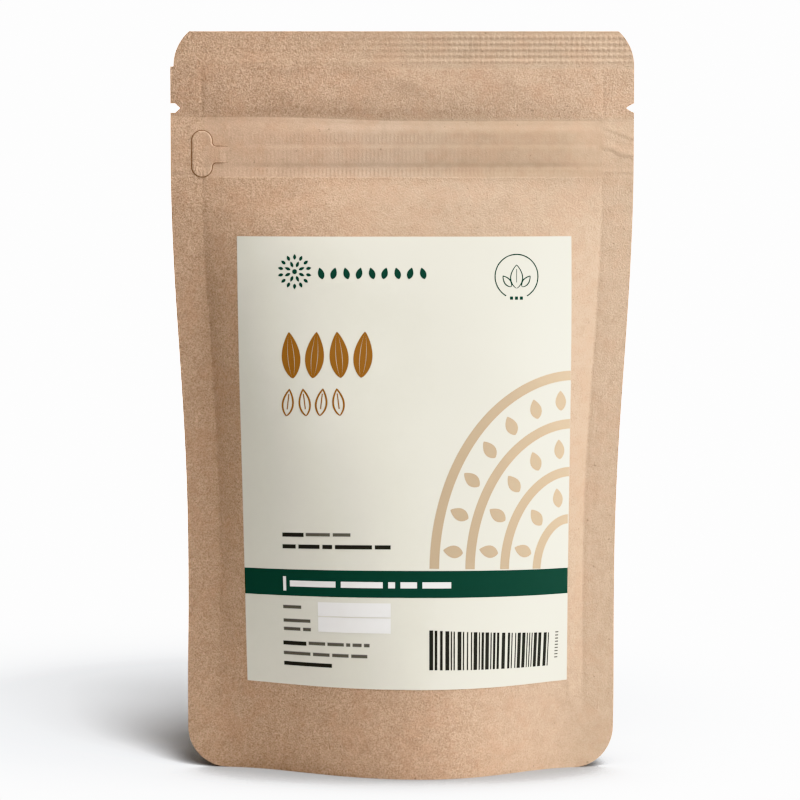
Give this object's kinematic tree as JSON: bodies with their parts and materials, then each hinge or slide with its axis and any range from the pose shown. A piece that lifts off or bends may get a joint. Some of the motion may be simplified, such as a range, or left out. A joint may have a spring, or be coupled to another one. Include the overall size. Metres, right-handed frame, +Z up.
{
  "type": "kraft paper stand-up pouch of anise seed",
  "caption": "Sealed kraft paper stand-up pouch filled with anise seed, with a resealable zip across the top, tear notches, a folded base and a plain paper label.",
  "frame": {"origin": "on the floor under the middle of the pouch", "axes": "+Z up along the pouch's height, +Y from the labelled front to the back, +X to the right seen from the front"},
  "size_m": [0.13, 0.0423, 0.208],
  "materials": {
    "kraft_paper": "matt brown kraft paper laminate with fine fibres",
    "label_paper": "smooth matt cream label paper, printed"
  },
  "bodies": {
    "root": {"pouch": "kraft_paper", "label": "label_paper"}
  },
  "joints": []
}
